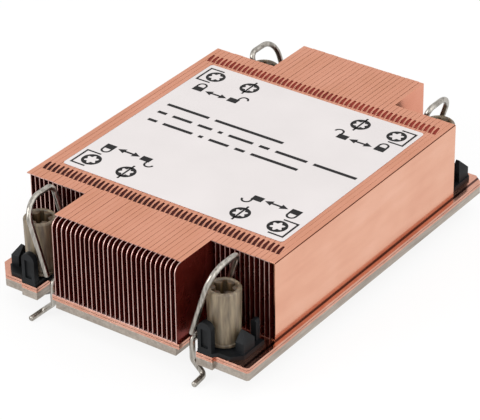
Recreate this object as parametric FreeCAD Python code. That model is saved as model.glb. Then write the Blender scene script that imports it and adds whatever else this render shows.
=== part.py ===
"""Passive server CPU heatsink: layered base, folded fin packs, four nuts and four anti-tilt wires.

Millimetres. X runs across the fins, Y along the air flow, Z up. The origin is the centre of the
base's bottom face, which is the face that meets the processor.
"""
import FreeCAD, Part
import math
import os
from FreeCAD import Vector

os.makedirs("parts", exist_ok=True)

# ---- Base: aluminium plate, then the two copper shells of the vapour chamber --------------------
BASE_HALF_X = 39.0
BASE_HALF_Y = 54.0              # outer part of the end tabs
TAB_EXTRA = 1.0                 # the inner part of the tabs, and the tongue, reach this much further
TAB_OUTER_WIDTH = 9.7
TAB_INNER_WIDTH = 4.8
NOTCH_WIDTH = 5.0
NOTCH_DEPTH = 10.0
ALU_TONGUE_INSET = 1.0          # the aluminium tongue is a little narrower than the copper
ALU_THICK = 2.15
LOWER_THICK = 0.73
UPPER_THICK = 0.72
SEAM_GAP = 0.12                 # height of the open joint round the rim of the two shells
SEAM_DEPTH = 0.7
FRONT_LEFT_CHAMFER_X = 3.7
FRONT_LEFT_CHAMFER_Y = 4.0
BACK_RIGHT_CHAMFER_X = 2.5
BACK_RIGHT_CHAMFER_Y = 2.0
SMALL_CORNER = 0.5
BOSS_MARGIN_X = 15.0            # from the base's edge to the contact boss
BOSS_MARGIN_Y = 18.0
BOSS_CORNER = 3.0

# ---- Fin packs --------------------------------------------------------------------------------
FIN_HEIGHT = 21.9
FIN_SHEET = 0.25
FLANGE_SHEET = 0.3
FIN_COUNT = 53                  # the last one is the end panel
TONGUE_FIRST = 13               # index of the first long fin
TONGUE_LAST = 39                # index of the last long fin
FIN_MARGIN_LEFT = 2.1           # from the base's edge to the first fin's plate
FIN_MARGIN_RIGHT = 1.8          # from the base's edge to the end panel's plate
BODY_MARGIN_Y = 13.4            # from the base's end to the short fins
FLANGE_SET_BACK = 2.6           # front end of the long fins' top flanges
FIN_CORNER_R = 2.3
FLANGE_STEP = 0.25              # the left flange edge outboard of the slot rows
PANEL_SHEET = 0.4
PANEL_GROOVE = 0.18
SEAM_WIDTH = 0.14               # small valley between neighbouring flanges
SEAM_VALLEY = 0.12
SLOT_MARGIN_Y = 5.7             # from the short fins' ends to the interlock slot rows
SLOT_LENGTH = 2.5
SLOT_WIDTH = 0.62
SLOT_TURN = 10.0                # degrees

# ---- Label ------------------------------------------------------------------------------------
LABEL_MARGIN_X = 5.4
LABEL_MARGIN_Y = 8.7            # from the short fins' ends
LABEL_THICK = 0.12
LABEL_CORNER = 1.0

# ---- Nuts and their retaining rings ---------------------------------------------------------------
NUT_FROM_NOTCH = 3.5            # across, from the notch's outer side
NUT_FROM_END = 6.0              # along, from the base's end
NUT_TOP_HEIGHT = 16.2           # above the copper
NUT_TOP_R = 4.3
NUT_LOW_R = 4.05
COLLAR_R = 4.6
COLLAR_HEIGHT = 0.8
COLLAR_BREAK = 0.15
NUT_TOP_CHAMFER = 0.45
NECK_R = 2.6
NECK_BELOW = 1.7                # the neck's end below the base
NECK_CHAMFER = 0.3
THREAD_R = 1.65
THREAD_DEPTH = 15.0
SOCKET_TIP_R = 2.75
SOCKET_ROOT_R = 1.98
SOCKET_FLUTE_R = 1.15
SOCKET_DEPTH = 3.6
SOCKET_RIM_R = 3.1
SOCKET_RIM_DEPTH = 0.35
RUNNING_GAP = 0.3               # between a nut and what it passes through or rests over
RING_THICK = 0.6
RING_R = 3.7
GROOVE_R = 2.2
GROOVE_SLACK = 0.05
RING_MOUTH = 1.7

# ---- Anti-tilt wires ------------------------------------------------------------------------------
WIRE_R = 0.75
AXIS_FROM_NOTCH = 2.0           # hinge line, from the notch's inner side
AXIS_HEIGHT = 1.7               # hinge line above the copper
LEG_FROM_NUT = 4.3              # lower leg and the front end of the axis run, from the nut's centre
INNER_LEG_FROM_FINS = 1.8       # leg beside the short fins
OUTER_LEG_FROM_NUT = 5.4        # leg in front of the nut
LOOP_LEAN = 6.7                 # the crossbar lies this far outboard of the hinge line
LOOP_HEIGHT = 20.8              # and this far above it
FREE_END_LEAN = 0.6
FREE_END_HEIGHT = 1.7
ELBOW_DROP = 6.5                # below the hinge line
FOOT_LEAN = 3.4
FOOT_DROP = 9.7
FOOT_LENGTH = 4.9
FOOT_SPLAY = 0.3
FOOT_DIP = 0.2
WIRE_BENDS = (1.3, 1.5, 1.5, 1.6, 2.0, 5.5)
WIRE_END_ROUND = 0.45

# ---- Retainers ------------------------------------------------------------------------------------
PLATE_THICK = 1.1
PLATE_REACH_X = 8.0             # outboard of the nut's centre
PLATE_INSET_X = 1.7             # the plate's inner edge, inboard of the notch's outer side
PLATE_EDGE = 0.1                # left free along the tab's end
PLATE_SHOULDER_EDGE = 0.3       # left free along the base's end
PLATE_FROM_FINS = 2.3
PLATE_CORNER = 2.5
PLATE_CLEAR_X = 0.4             # beyond the notch's side: keeps the swing of the lower leg free
PLATE_TOE = 0.2
PLATE_TOE_SLOPE = 1.2
BEARING_GAP = 0.06              # radial, wire to bearing
BEARING_R = 1.5
BEARING_LENGTH = 1.8
BEARING_OVERLAP = 0.2
FRONT_BEARING_FROM_NUT = 0.8    # its near end, towards the base's end
REAR_BEARING_FROM_NUT = 2.0     # its near end, towards the fins
SNAP_MOUTH = 1.15
BLOCK_FROM_NOTCH = 0.5
BLOCK_WIDTH = 4.0
BLOCK_DEPTH = 1.6
BLOCK_HEIGHT = 9.0
BLOCK_RECESS = 0.45
BLOCK_RECESS_HALF = 1.0
BLOCK_RECESS_RISE = 0.8
FINGER_FROM_NUT_X = 5.3
FINGER_WIDTH = 2.4
FINGER_REAR_FROM_NUT = 1.5      # towards the fins
FINGER_FRONT_FROM_NUT = 3.0     # towards the base's end
FINGER_TIP_FROM_NUT = 0.7
FINGER_HEIGHT = 5.6
FINGER_SHOULDER = 3.1
FINGER_TIP_WIDTH = 0.9
POST_FROM_NUT_X = 5.1
POST_SIDE = 1.6
POST_HEIGHT = 6.1
POST_CHAMFER = 0.4
ROOT_SINK = 0.3                 # how far upstands are moulded into the plate

# ---- Sizes that follow from the ones above ---------------------------------------------------------
ALU_TOP_Z = ALU_THICK
SEAM_Z = ALU_TOP_Z + LOWER_THICK
COPPER_TOP_Z = SEAM_Z + UPPER_THICK
TAB_HALF_Y = BASE_HALF_Y + TAB_EXTRA
LONG_HALF_Y = TAB_HALF_Y
BODY_HALF_Y = BASE_HALF_Y - BODY_MARGIN_Y
TAB_STEP_X = BASE_HALF_X - TAB_OUTER_WIDTH
NOTCH_OUT_X = TAB_STEP_X - TAB_INNER_WIDTH
NOTCH_IN_X = NOTCH_OUT_X - NOTCH_WIDTH
NOTCH_END_Y = TAB_HALF_Y - NOTCH_DEPTH
ALU_TONGUE_X = NOTCH_IN_X - ALU_TONGUE_INSET
BOSS_HALF_X = BASE_HALF_X - BOSS_MARGIN_X
BOSS_HALF_Y = BASE_HALF_Y - BOSS_MARGIN_Y
FIN_TOP_Z = COPPER_TOP_Z + FIN_HEIGHT
FIN_FIRST_X = FIN_MARGIN_LEFT - BASE_HALF_X
FIN_PITCH = (BASE_HALF_X - FIN_MARGIN_RIGHT - FIN_FIRST_X) / (FIN_COUNT - 1)
FLANGE_FRONT_Y = LONG_HALF_Y - FLANGE_SET_BACK
SLOT_HALF_Y = BODY_HALF_Y - SLOT_MARGIN_Y
LABEL_HALF_X = BASE_HALF_X - LABEL_MARGIN_X
LABEL_HALF_Y = BODY_HALF_Y - LABEL_MARGIN_Y
NUT_X = NOTCH_OUT_X + NUT_FROM_NOTCH
NUT_Y = BASE_HALF_Y - NUT_FROM_END
NUT_TOP_Z = COPPER_TOP_Z + NUT_TOP_HEIGHT
PLATE_TOP_Z = COPPER_TOP_Z + PLATE_THICK
COLLAR_Z = PLATE_TOP_Z + RUNNING_GAP
BARREL_Z = COLLAR_Z + COLLAR_HEIGHT
HOLE_R = NECK_R + RUNNING_GAP
NECK_END_Z = -NECK_BELOW
RING_TOP_Z = -RUNNING_GAP - GROOVE_SLACK
RING_LOW_Z = RING_TOP_Z - RING_THICK
THREAD_TOP_Z = NECK_END_Z + THREAD_DEPTH
AXIS_X = NOTCH_IN_X + AXIS_FROM_NOTCH
AXIS_Z = COPPER_TOP_Z + AXIS_HEIGHT
LEG_Y = NUT_Y + LEG_FROM_NUT
INNER_LEG_Y = BODY_HALF_Y + INNER_LEG_FROM_FINS
OUTER_LEG_Y = NUT_Y + OUTER_LEG_FROM_NUT
PLATE_OUT_X = NUT_X + PLATE_REACH_X
PLATE_IN_X = NOTCH_OUT_X - PLATE_INSET_X
PLATE_SIDE_X = NOTCH_OUT_X + PLATE_CLEAR_X
PLATE_FRONT_Y = TAB_HALF_Y - PLATE_EDGE
PLATE_SHOULDER_Y = BASE_HALF_Y - PLATE_SHOULDER_EDGE
PLATE_REAR_Y = BODY_HALF_Y + PLATE_FROM_FINS
FRONT_BEARING_Y = NUT_Y + FRONT_BEARING_FROM_NUT
REAR_BEARING_Y = NUT_Y - REAR_BEARING_FROM_NUT - BEARING_LENGTH
BLOCK_X = NOTCH_OUT_X + BLOCK_FROM_NOTCH
BLOCK_TOP_Z = COPPER_TOP_Z + BLOCK_HEIGHT
FINGER_X = NUT_X + FINGER_FROM_NUT_X
POST_X = NUT_X + POST_FROM_NUT_X
CORNERS = ((1, -1), (-1, -1), (1, 1), (-1, 1))
NAMES = {(1, -1): "front_right", (-1, -1): "front_left", (1, 1): "back_right", (-1, 1): "back_left"}


def block(x0, x1, y0, y1, z0, z1):
    """A box between two corners."""
    return Part.makeBox(x1 - x0, y1 - y0, z1 - z0, Vector(x0, y0, z0))


def post(x, y, z0, z1, r):
    """An upright cylinder."""
    return Part.makeCylinder(r, z1 - z0, Vector(x, y, z0))


def prism(points, direction):
    """A closed polygon, given as 3-D points, pushed along a direction."""
    ring = [Vector(*p) for p in points]
    ring.append(ring[0])
    return Part.Face(Part.makePolygon(ring)).extrude(Vector(*direction))


def outline(tongue_x, inset=0.0):
    """The base's plan outline as (x, y) points, anticlockwise from the front left corner."""
    e = inset
    fx = FRONT_LEFT_CHAMFER_X
    fy = FRONT_LEFT_CHAMFER_Y
    bx = BACK_RIGHT_CHAMFER_X
    by = BACK_RIGHT_CHAMFER_Y
    hx = BASE_HALF_X - e
    hy = BASE_HALF_Y - e
    ty = TAB_HALF_Y - e
    sx = TAB_STEP_X - e
    nx = NOTCH_OUT_X + e
    tx = tongue_x - e
    ny = NOTCH_END_Y - e
    front_left = [(-hx, -hy + fy), (-hx + fx, -hy)]
    front_right = [(hx - SMALL_CORNER, -hy), (hx, -hy + SMALL_CORNER)]
    back_right = [(hx, hy - by), (hx - bx, hy)]
    back_left = [(-hx + SMALL_CORNER, hy), (-hx, hy - SMALL_CORNER)]
    notched = [(-sx, hy), (-sx, ty), (-nx, ty), (-nx, ny), (-tx, ny), (-tx, ty)]
    back = back_right + [(-x, y) for x, y in notched] + notched[::-1] + back_left
    front = [(x, -y) for x, y in notched] + [(-x, -y) for x, y in notched[::-1]]
    return front_left + front + front_right + back


def layer(tongue_x, z0, z1, inset=0.0):
    """One layer of the base between two heights, with the nut holes."""
    plate = prism([(x, y, z0) for x, y in outline(tongue_x, inset)], (0, 0, z1 - z0))
    holes = [post(sx * NUT_X, sy * NUT_Y, z0 - 1, z1 + 1, HOLE_R) for sx, sy in CORNERS]
    return plate.cut(Part.makeCompound(holes))


def boss(z0, z1):
    """The contact boss, also the window it fills."""
    body = block(-BOSS_HALF_X, BOSS_HALF_X, -BOSS_HALF_Y, BOSS_HALF_Y, z0, z1)
    upright = [e for e in body.Edges if e.BoundBox.ZLength > 0.5 * (z1 - z0)]
    return body.makeFillet(BOSS_CORNER, upright)


def fin_x(index):
    """Left face of one fin."""
    return FIN_FIRST_X + index * FIN_PITCH


def fin_pack(first, last, half_y, start_x):
    """Folded fins side by side: each has a plate on the right and flanges that reach left."""
    z0 = COPPER_TOP_Z
    z1 = FIN_TOP_Z
    end_x = fin_x(last) + FIN_SHEET
    low = z0 + FLANGE_SHEET
    high = z1 - FLANGE_SHEET
    face_x = fin_x(first)
    points = [(start_x, z0), (end_x, z0), (end_x, z1)]
    for index in range(last - 1, first - 1, -1):
        seam = fin_x(index) + FIN_SHEET
        points.append((seam + SEAM_WIDTH / 2, z1))
        points.append((seam, z1 - SEAM_VALLEY))
        points.append((seam - SEAM_WIDTH / 2, z1))
    points += [(start_x, z1), (start_x, high), (face_x, high), (face_x, low), (start_x, low)]
    outer = Part.makePolygon([Vector(x, -half_y, z) for x, z in points + points[:1]])
    wires = [outer]
    for index in range(first + 1, last + 1):
        a = fin_x(index - 1) + FIN_SHEET
        b = fin_x(index)
        ring = [(a, low), (b, low), (b, high), (a, high), (a, low)]
        wires.append(Part.makePolygon([Vector(x, -half_y, z) for x, z in ring]))
    face = Part.makeFace(wires, "Part::FaceMakerBullseye")
    return face.extrude(Vector(0, 2 * half_y, 0))


def slot_cutters(first, last, start_x):
    """Slanted interlock slots, one in each flange at each end of the label."""
    cutters = []
    for index in range(first, last + 1):
        left = start_x if index == first else fin_x(index - 1) + FIN_SHEET
        middle = (left + fin_x(index)) / 2
        for side in (-1, 1):
            low_z = FIN_TOP_Z - FLANGE_SHEET - 0.1
            cutter = Part.makeBox(SLOT_WIDTH, SLOT_LENGTH, 1.0, Vector(-SLOT_WIDTH / 2, -SLOT_LENGTH / 2, 0))
            cutter.rotate(Vector(0, 0, 0), Vector(0, 0, 1), SLOT_TURN)
            cutter.translate(Vector(middle, side * SLOT_HALF_Y, low_z))
            cutters.append(cutter)
    return cutters


def front_corner_cutter():
    """Takes the flange fronts off the long fins and rounds the upper front corner of each fin."""
    cutters = []
    start = fin_x(TONGUE_FIRST - 1) + FIN_SHEET
    front = -LONG_HALF_Y
    for index in range(TONGUE_FIRST, TONGUE_LAST + 1):
        left = start - 1 if index == TONGUE_FIRST else fin_x(index - 1) + FIN_SHEET
        cutters.append(block(left, fin_x(index), front - 1, -FLANGE_FRONT_Y,
                             FIN_TOP_Z - FLANGE_SHEET - 0.05, FIN_TOP_Z + 1))
    left = start - 1
    right = fin_x(TONGUE_LAST) + 1
    r = FIN_CORNER_R
    corner = block(left, right, front - 1, front + r, FIN_TOP_Z - r, FIN_TOP_Z + 1)
    rod = Part.makeCylinder(r, right - left + 2, Vector(left - 1, front + r, FIN_TOP_Z - r),
                            Vector(1, 0, 0))
    cutters.append(corner.cut(rod))
    return cutters


def end_panel():
    """The last fin: a slightly thicker plate with flanges that reach left to its neighbour."""
    left = fin_x(FIN_COUNT - 2) + FIN_SHEET
    plate = fin_x(FIN_COUNT - 1)
    right = plate + PANEL_SHEET
    z0 = COPPER_TOP_Z
    z1 = FIN_TOP_Z
    g = PANEL_GROOVE
    points = [(left, z0), (right, z0), (right, z1 - g), (right - g, z1 - g), (right - g, z1),
              (left, z1), (left, z1 - FLANGE_SHEET), (plate, z1 - FLANGE_SHEET),
              (plate, z0 + FLANGE_SHEET), (left, z0 + FLANGE_SHEET)]
    ring = [(x, -BODY_HALF_Y, z) for x, z in points]
    return prism(ring, (0, 2 * BODY_HALF_Y, 0))


def label():
    """A thin sheet with rounded corners on the flanges."""
    z0 = FIN_TOP_Z
    sheet = block(-LABEL_HALF_X, LABEL_HALF_X, -LABEL_HALF_Y, LABEL_HALF_Y, z0, z0 + LABEL_THICK)
    upright = [e for e in sheet.Edges if e.BoundBox.ZLength > 0.5 * LABEL_THICK]
    return sheet.makeFillet(LABEL_CORNER, upright)


def six_lobe(z0, z1):
    """The six-lobe drive recess as a solid to cut."""
    core = post(0, 0, z0, z1, SOCKET_TIP_R)
    reach = SOCKET_ROOT_R + SOCKET_FLUTE_R
    flutes = []
    for k in range(6):
        a = math.radians(30 + 60 * k)
        flutes.append(post(reach * math.cos(a), reach * math.sin(a), z0 - 1, z1 + 1, SOCKET_FLUTE_R))
    return core.cut(Part.makeCompound(flutes))


def nut():
    """A tall nut: barrel with a collar, neck through the base, thread from below, drive on top."""
    c = NUT_TOP_CHAMFER
    b = COLLAR_BREAK
    groove = GROOVE_SLACK
    profile = [(0, NUT_TOP_Z), (NUT_TOP_R - c, NUT_TOP_Z), (NUT_TOP_R, NUT_TOP_Z - c),
               (NUT_LOW_R, BARREL_Z), (COLLAR_R - b, BARREL_Z), (COLLAR_R, BARREL_Z - b),
               (COLLAR_R, COLLAR_Z), (NECK_R, COLLAR_Z), (NECK_R, RING_TOP_Z + groove),
               (GROOVE_R, RING_TOP_Z + groove), (GROOVE_R, RING_LOW_Z - groove),
               (NECK_R, RING_LOW_Z - groove), (NECK_R, NECK_END_Z + NECK_CHAMFER),
               (NECK_R - NECK_CHAMFER, NECK_END_Z), (0, NECK_END_Z)]
    ring = [Vector(r, 0, z) for r, z in profile]
    ring.append(ring[0])
    solid = Part.Face(Part.makePolygon(ring)).revolve(Vector(0, 0, 0), Vector(0, 0, 1), 360)
    solid = solid.cut(post(0, 0, NECK_END_Z - 1, THREAD_TOP_Z, THREAD_R))
    rim = Part.makeCone(SOCKET_TIP_R, SOCKET_RIM_R, SOCKET_RIM_DEPTH,
                        Vector(0, 0, NUT_TOP_Z - SOCKET_RIM_DEPTH))
    solid = solid.cut(rim)
    return solid.cut(six_lobe(NUT_TOP_Z - SOCKET_DEPTH, NUT_TOP_Z + 1))


def retaining_ring():
    """An open ring that sits in the groove of a nut's neck, below the base."""
    ring = post(0, 0, RING_LOW_Z, RING_TOP_Z, RING_R)
    ring = ring.cut(post(0, 0, RING_LOW_Z - 1, RING_TOP_Z + 1, GROOVE_R))
    mouth = block(0, RING_R + 1, -RING_MOUTH / 2, RING_MOUTH / 2, RING_LOW_Z - 1, RING_TOP_Z + 1)
    return ring.cut(mouth)


def wire_corners():
    """Corner points of a wire's centre line, front right, locked."""
    foot_x = AXIS_X + FOOT_LEAN
    foot_z = AXIS_Z - FOOT_DROP
    loop_x = AXIS_X + LOOP_LEAN
    loop_z = AXIS_Z + LOOP_HEIGHT
    return [Vector(foot_x + FOOT_SPLAY, -LEG_Y - FOOT_LENGTH, foot_z - FOOT_DIP),
            Vector(foot_x, -LEG_Y, foot_z),
            Vector(AXIS_X, -LEG_Y, AXIS_Z - ELBOW_DROP),
            Vector(AXIS_X, -LEG_Y, AXIS_Z),
            Vector(AXIS_X, -INNER_LEG_Y, AXIS_Z),
            Vector(loop_x, -INNER_LEG_Y, loop_z),
            Vector(loop_x, -OUTER_LEG_Y, loop_z),
            Vector(AXIS_X + FREE_END_LEAN, -OUTER_LEG_Y, AXIS_Z + FREE_END_HEIGHT)]


def rounded_path(corners, radii):
    """Straight runs joined by tangent arcs."""
    edges = []
    start = corners[0]
    for k, radius in enumerate(radii):
        corner = corners[k + 1]
        back = (corners[k] - corner).normalize()
        ahead = (corners[k + 2] - corner).normalize()
        half = back.getAngle(ahead) / 2
        cut = radius / math.tan(half)
        into = corner + back * cut
        out = corner + ahead * cut
        bisector = (back + ahead).normalize()
        middle = corner + bisector * (radius / math.sin(half) - radius)
        edges.append(Part.makeLine(start, into))
        edges.append(Part.Arc(into, middle, out).toShape())
        start = out
    edges.append(Part.makeLine(start, corners[-1]))
    return Part.Wire(edges)


def anti_tilt_wire():
    """One bent rod, swept along its centre line in a single piece, both ends rounded."""
    corners = wire_corners()
    path = rounded_path(corners, WIRE_BENDS)
    direction = corners[1] - corners[0]
    section = Part.Wire(Part.makeCircle(WIRE_R, corners[0], direction))
    rod = path.makePipeShell([section], True, False)
    near = WIRE_R / 10
    ends = [e for e in rod.Edges if (e.CenterOfMass - corners[0]).Length < near
            or (e.CenterOfMass - corners[-1]).Length < near]
    rod = rod.makeFillet(WIRE_END_ROUND, ends)
    expected = math.pi * WIRE_R ** 2 * path.Length
    print("wire length %.2f volume %.2f of %.2f" % (path.Length, rod.Volume, expected))
    return rod


def bearing(near_y):
    """One wire bearing of a retainer, front right: a lug on a short web, open at the top."""
    length = BEARING_LENGTH
    y0 = -near_y - length
    lug = Part.makeCylinder(BEARING_R, length, Vector(AXIS_X, y0, AXIS_Z), Vector(0, 1, 0))
    web = block(AXIS_X, PLATE_IN_X + BEARING_OVERLAP, y0, y0 + length, AXIS_Z - BEARING_R, PLATE_TOP_Z)
    bore = Part.makeCylinder(WIRE_R + BEARING_GAP, length + 2, Vector(AXIS_X, y0 - 1, AXIS_Z),
                             Vector(0, 1, 0))
    mouth = block(AXIS_X - SNAP_MOUTH / 2, AXIS_X + SNAP_MOUTH / 2, y0 - 1, y0 + length + 1,
                  AXIS_Z, AXIS_Z + BEARING_R + 1)
    return lug.fuse(web).cut(bore).cut(mouth)


def retainer():
    """The black clip of the front right corner."""
    z0 = COPPER_TOP_Z
    c = PLATE_CORNER
    side = PLATE_SIDE_X
    block_end = BLOCK_X + BLOCK_WIDTH
    front_bearing_end = FRONT_BEARING_Y + BEARING_LENGTH
    ring = [(side, -PLATE_FRONT_Y), (block_end + PLATE_TOE, -PLATE_FRONT_Y),
            (block_end + PLATE_TOE + PLATE_TOE_SLOPE, -PLATE_SHOULDER_Y),
            (PLATE_OUT_X - c, -PLATE_SHOULDER_Y), (PLATE_OUT_X, -PLATE_SHOULDER_Y + c),
            (PLATE_OUT_X, -PLATE_REAR_Y), (PLATE_IN_X, -PLATE_REAR_Y),
            (PLATE_IN_X, -front_bearing_end), (side, -front_bearing_end)]
    body = prism([(x, y, z0) for x, y in ring], (0, 0, PLATE_THICK))
    body = body.cut(post(NUT_X, -NUT_Y, z0 - 1, PLATE_TOP_Z + 1, HOLE_R))

    half = BLOCK_WIDTH / 2
    middle = BLOCK_X + half
    springing = BLOCK_TOP_Z - half
    block_y = -PLATE_FRONT_Y
    upright = block(BLOCK_X, block_end, block_y, block_y + BLOCK_DEPTH, z0, springing)
    arch = Part.makeCylinder(half, BLOCK_DEPTH, Vector(middle, block_y, springing), Vector(0, 1, 0))
    upright = upright.fuse(arch)
    recess = block(middle - BLOCK_RECESS_HALF, middle + BLOCK_RECESS_HALF, block_y - 1,
                   block_y + BLOCK_RECESS, PLATE_TOP_Z + BLOCK_RECESS_RISE, springing)
    upright = upright.cut(recess)

    low = PLATE_TOP_Z - ROOT_SINK
    shoulder = PLATE_TOP_Z + FINGER_SHOULDER - ROOT_SINK
    tip = PLATE_TOP_Z + FINGER_HEIGHT - ROOT_SINK
    front = -NUT_Y - FINGER_FRONT_FROM_NUT
    rear = -NUT_Y + FINGER_REAR_FROM_NUT
    gable = [(front, low), (front, shoulder), (-NUT_Y - FINGER_TIP_FROM_NUT, tip),
             (rear, shoulder), (rear, low)]
    finger = prism([(FINGER_X, y, z) for y, z in gable], (FINGER_WIDTH, 0, 0))
    outer = FINGER_X + FINGER_WIDTH
    slope = [(outer, shoulder), (outer + 1, shoulder), (outer + 1, tip + 1),
             (FINGER_X + FINGER_TIP_WIDTH, tip + 1), (FINGER_X + FINGER_TIP_WIDTH, tip)]
    finger = finger.cut(prism([(x, front - 1, z) for x, z in slope], (0, rear - front + 2, 0)))

    top = PLATE_TOP_Z + POST_HEIGHT - ROOT_SINK - POST_CHAMFER
    c = POST_CHAMFER
    stem_y = -PLATE_REAR_Y - POST_SIDE
    stem = block(POST_X, POST_X + POST_SIDE, stem_y, -PLATE_REAR_Y, low, top)
    crown = [(POST_X, top), (POST_X + POST_SIDE, top), (POST_X + POST_SIDE - c, top + c),
             (POST_X + c, top + c)]
    stem = stem.fuse(prism([(x, stem_y, z) for x, z in crown], (0, POST_SIDE, 0)))
    pieces = [upright, finger, stem, bearing(FRONT_BEARING_Y), bearing(REAR_BEARING_Y)]
    return body.multiFuse(pieces).removeSplitter()


def mirrored(shape, side_x, side_y):
    """The front right piece moved by mirroring to another corner."""
    if side_x < 0:
        shape = shape.mirror(Vector(0, 0, 0), Vector(1, 0, 0))
    if side_y > 0:
        shape = shape.mirror(Vector(0, 0, 0), Vector(0, 1, 0))
    return shape


def moved(shape, x, y):
    """A copy of a shape set beside the origin."""
    copy = shape.copy()
    copy.translate(Vector(x, y, 0))
    return copy


def save(name, shape):
    """Check one solid and write it."""
    solids = shape.Solids
    if len(solids) == 1:
        shape = solids[0]
    bb = shape.BoundBox
    print("%-22s solids %d valid %s vol %.1f  x %.2f %.2f  y %.2f %.2f  z %.2f %.2f" % (
        name, len(solids), shape.isValid(), shape.Volume, bb.XMin, bb.XMax, bb.YMin, bb.YMax,
        bb.ZMin, bb.ZMax))
    shape.exportStep("parts/" + name + ".step")


# ---- Base -----------------------------------------------------------------------------------------
plate_solid = layer(ALU_TONGUE_X, 0, ALU_TOP_Z).cut(boss(-1, ALU_TOP_Z + 1))
save("base_plate", plate_solid)
lower = layer(NOTCH_IN_X, ALU_TOP_Z, SEAM_Z - SEAM_GAP / 2)
lower = lower.fuse(layer(NOTCH_IN_X, SEAM_Z - SEAM_GAP / 2, SEAM_Z, SEAM_DEPTH))
lower = lower.fuse(boss(0, ALU_TOP_Z)).removeSplitter()
save("lower_shell", lower)
upper = layer(NOTCH_IN_X, SEAM_Z + SEAM_GAP / 2, COPPER_TOP_Z)
upper = upper.fuse(layer(NOTCH_IN_X, SEAM_Z, SEAM_Z + SEAM_GAP / 2, SEAM_DEPTH)).removeSplitter()
save("upper_shell", upper)

# ---- Fins -----------------------------------------------------------------------------------------
left_start = FIN_FIRST_X - FIN_PITCH + FIN_SHEET
left_pack = fin_pack(0, TONGUE_FIRST - 1, BODY_HALF_Y, left_start)
left_cuts = slot_cutters(0, TONGUE_FIRST - 1, left_start)
for side in (-1, 1):
    y_edge = SLOT_HALF_Y - SLOT_LENGTH / 2
    y0, y1 = sorted((side * y_edge, side * (BODY_HALF_Y + 1)))
    left_cuts.append(block(left_start - 1, left_start + FLANGE_STEP, y0, y1,
                           FIN_TOP_Z - FLANGE_SHEET - 0.1, FIN_TOP_Z + 1))
save("fins_left", left_pack.cut(Part.makeCompound(left_cuts)))

centre_start = fin_x(TONGUE_FIRST - 1) + FIN_SHEET
centre_pack = fin_pack(TONGUE_FIRST, TONGUE_LAST, LONG_HALF_Y, centre_start)
centre_cuts = slot_cutters(TONGUE_FIRST, TONGUE_LAST, centre_start)
centre_pack = centre_pack.cut(Part.makeCompound(centre_cuts))
save("fins_centre", centre_pack.cut(front_corner_cutter()))

right_start = fin_x(TONGUE_LAST) + FIN_SHEET
right_pack = fin_pack(TONGUE_LAST + 1, FIN_COUNT - 2, BODY_HALF_Y, right_start)
right_cuts = slot_cutters(TONGUE_LAST + 1, FIN_COUNT - 2, right_start)
save("fins_right", right_pack.cut(Part.makeCompound(right_cuts)))
save("end_panel", end_panel())
save("label", label())

# ---- Fastening and locking parts, one of each in every corner --------------------------------------
nut_solid = nut()
ring_solid = retaining_ring()
wire_solid = anti_tilt_wire()
retainer_solid = retainer()
for side_x, side_y in CORNERS:
    tag = NAMES[(side_x, side_y)]
    save("nut_" + tag, moved(nut_solid, side_x * NUT_X, side_y * NUT_Y))
    save("ring_" + tag, moved(ring_solid, side_x * NUT_X, side_y * NUT_Y))
    save("wire_" + tag, mirrored(wire_solid, side_x, side_y))
    save("retainer_" + tag, mirrored(retainer_solid, side_x, side_y))
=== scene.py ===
import math
import random

import bmesh
import bpy
from mathutils import Matrix, Vector


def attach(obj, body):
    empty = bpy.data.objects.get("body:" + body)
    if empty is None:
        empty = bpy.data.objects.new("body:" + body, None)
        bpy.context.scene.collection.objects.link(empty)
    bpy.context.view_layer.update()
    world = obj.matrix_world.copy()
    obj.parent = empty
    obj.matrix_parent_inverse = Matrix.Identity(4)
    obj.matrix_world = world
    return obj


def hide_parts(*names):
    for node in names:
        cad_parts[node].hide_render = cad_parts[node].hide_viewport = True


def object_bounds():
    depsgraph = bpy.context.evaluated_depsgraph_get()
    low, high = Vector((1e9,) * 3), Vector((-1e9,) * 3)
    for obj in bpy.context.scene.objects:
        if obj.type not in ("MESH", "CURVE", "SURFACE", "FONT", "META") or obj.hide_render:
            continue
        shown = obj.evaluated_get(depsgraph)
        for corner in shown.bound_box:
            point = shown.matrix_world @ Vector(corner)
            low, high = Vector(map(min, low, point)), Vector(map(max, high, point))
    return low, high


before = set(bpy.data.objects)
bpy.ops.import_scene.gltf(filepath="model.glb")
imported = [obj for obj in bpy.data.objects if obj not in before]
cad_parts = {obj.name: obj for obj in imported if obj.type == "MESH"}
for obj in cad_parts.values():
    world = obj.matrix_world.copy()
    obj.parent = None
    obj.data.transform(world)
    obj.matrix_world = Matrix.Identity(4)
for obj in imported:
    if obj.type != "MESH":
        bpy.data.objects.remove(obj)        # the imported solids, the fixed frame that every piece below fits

cad_low, cad_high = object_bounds()

# ---- Base plate ----------------------------------------------------------------------------------
# The bottom layer of the base is a punched plate of rolled aluminium, 2.15 mm thick. Its rolled
# faces are satin with faint streaks along the strip; its punched edges are a little rougher.
MM = 0.001
HEATSINK = "heatsink"


def linear(code):
    """An sRGB hex value as the linear colour that a shader takes."""
    parts = [int(code[k:k + 2], 16) / 255 for k in (1, 3, 5)]
    return tuple(p / 12.92 if p <= 0.04045 else ((p + 0.055) / 1.055) ** 2.4 for p in parts) + (1.0,)


def add(tree, kind, settings=None, links=None, values=None):
    """One node with its settings, its links from other sockets, and its plain values."""
    node = tree.nodes.new(kind)
    for name, value in (settings or {}).items():
        setattr(node, name, value)
    for name, value in (values or {}).items():
        node.inputs[name].default_value = value
    for name, socket in (links or {}).items():
        tree.links.new(socket, node.inputs[name])
    return node


def start_material(name):
    """An empty material: its tree, its Principled shader and its Object coordinates."""
    material = bpy.data.materials.new(name)
    material.use_nodes = True
    tree = material.node_tree
    tree.nodes.clear()
    shader = add(tree, "ShaderNodeBsdfPrincipled")
    add(tree, "ShaderNodeOutputMaterial", links={"Surface": shader.outputs[0]})
    place = add(tree, "ShaderNodeTexCoord").outputs["Object"]
    return material, tree, shader, place


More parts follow.
